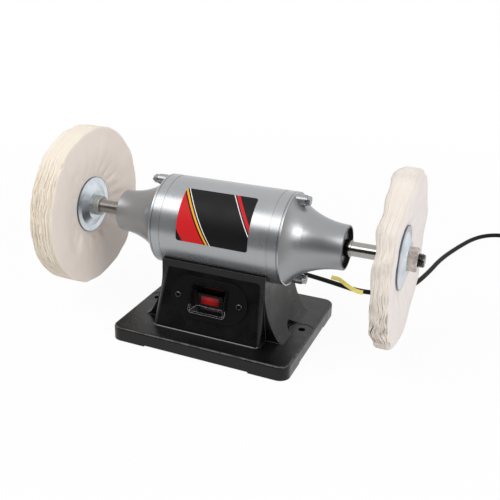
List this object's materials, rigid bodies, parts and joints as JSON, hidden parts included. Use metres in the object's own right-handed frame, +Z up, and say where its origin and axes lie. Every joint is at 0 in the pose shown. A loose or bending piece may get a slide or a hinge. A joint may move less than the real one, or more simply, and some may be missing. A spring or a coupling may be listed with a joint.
{
  "type": "bench buffing grinder",
  "caption": "Twin-ended bench buffer: an induction motor with trumpet end bells on a flared cast pedestal, a rocker switch in front and a cotton buff clamped on each end of the shaft.",
  "frame": {"origin": "on the bench, under the middle of the shaft", "axes": "+X along the shaft to the right, +Y to the back away from the switch, +Z up"},
  "size_m": [0.6357, 0.5792, 0.2334],
  "materials": {
    "black_cast_iron": "black semi-gloss paint on a casting",
    "zinc_sheet": "zinc-plated sheet",
    "bright_fasteners": "bright zinc",
    "silver_paint": "satin silver-grey paint",
    "silver_casting": "satin silver-grey paint on a casting",
    "bearing_steel": "ground bearing steel",
    "bearing_sheet": "pressed steel sheet",
    "lamination_steel": "stacked electrical steel",
    "copper_wire": "varnished copper wire",
    "cage_aluminium": "die-cast aluminium",
    "ground_steel": "ground steel",
    "dull_steel": "turned steel, dull",
    "zinc_flange": "bright zinc plate with a bluish tint",
    "nut_steel": "turned steel",
    "cotton_cloth": "natural cotton plies with frayed edges",
    "capacitor_case": "plain moulded can",
    "black_sheet": "black paint on sheet",
    "black_plastic": "moulded black",
    "black_gloss_plastic": "moulded black, polished",
    "red_lens": "translucent red",
    "terminal_brass": "bright brass",
    "nameplate_sheet": "printed sheet, plain motif",
    "black_rubber": "matt black",
    "yellow_paper": "plain yellow paper"
  },
  "bodies": {
    "stand": {"base_casting": "black_cast_iron", "bottom_cover": "zinc_sheet", "capacitor_clip": "zinc_sheet", "cover_screws": "bright_fasteners", "saddle_screws": "bright_fasteners", "saddle_nuts": "bright_fasteners", "tie_bolts": "bright_fasteners", "tie_bolt_washers": "bright_fasteners", "tie_bolt_nuts": "bright_fasteners", "panel_screws": "bright_fasteners", "motor_barrel": "silver_paint", "left_end_bell": "silver_casting", "right_end_bell": "silver_casting", "left_bearing_outer_ring": "bearing_steel", "right_bearing_outer_ring": "bearing_steel", "left_bearing_shields": "bearing_sheet", "right_bearing_shields": "bearing_sheet", "preload_washer": "bearing_sheet", "stator_core": "lamination_steel", "stator_windings": "copper_wire", "run_capacitor": "capacitor_case", "switch_plate": "black_sheet", "switch_housing": "black_plastic", "coil_tie": "black_plastic", "switch_terminals": "terminal_brass", "plug_pins": "terminal_brass", "nameplate": "nameplate_sheet", "strain_relief": "black_rubber", "power_cord": "black_rubber", "cord_coil": "black_rubber", "power_plug": "black_rubber", "cord_tag": "yellow_paper"},
    "rotor": {"rotor_shaft": "ground_steel", "rotor_core": "lamination_steel", "rotor_cage": "cage_aluminium", "left_bearing_inner_ring": "bearing_steel", "left_collar": "dull_steel", "left_inner_flange": "zinc_flange", "left_buff": "cotton_cloth", "left_outer_flange": "zinc_flange", "left_arbor_nut": "nut_steel", "right_bearing_inner_ring": "bearing_steel", "right_collar": "dull_steel", "right_inner_flange": "zinc_flange", "right_buff": "cotton_cloth", "right_outer_flange": "zinc_flange", "right_arbor_nut": "nut_steel"},
    "left_ball_set": {"left_bearing_balls": "bearing_steel", "left_bearing_cage": "bearing_sheet"},
    "right_ball_set": {"right_bearing_balls": "bearing_steel", "right_bearing_cage": "bearing_sheet"},
    "rocker": {"switch_rocker": "black_gloss_plastic", "rocker_window": "red_lens"}
  },
  "joints": [
    {"name": "rotor_spin", "type": "hinge", "parent": "stand", "child": "rotor", "pos_m": [0, 0, 0.1304], "axis": [1, 0, 0], "continuous": true},
    {"name": "left_ball_roll", "type": "hinge", "parent": "stand", "child": "left_ball_set", "pos_m": [-0.133, 0, 0.1304], "axis": [1, 0, 0], "continuous": true},
    {"name": "right_ball_roll", "type": "hinge", "parent": "stand", "child": "right_ball_set", "pos_m": [0.133, 0, 0.1304], "axis": [1, 0, 0], "continuous": true},
    {"name": "rocker_tip", "type": "hinge", "parent": "stand", "child": "rocker", "pos_m": [0, -0.04773, 0.05478], "axis": [-1, 0, 0], "range_deg": [0, 20]}
  ],
  "couplings": [
    {"joint": "left_ball_roll", "follows": "rotor_spin", "ratio": 0.3836},
    {"joint": "right_ball_roll", "follows": "rotor_spin", "ratio": 0.3836}
  ]
}
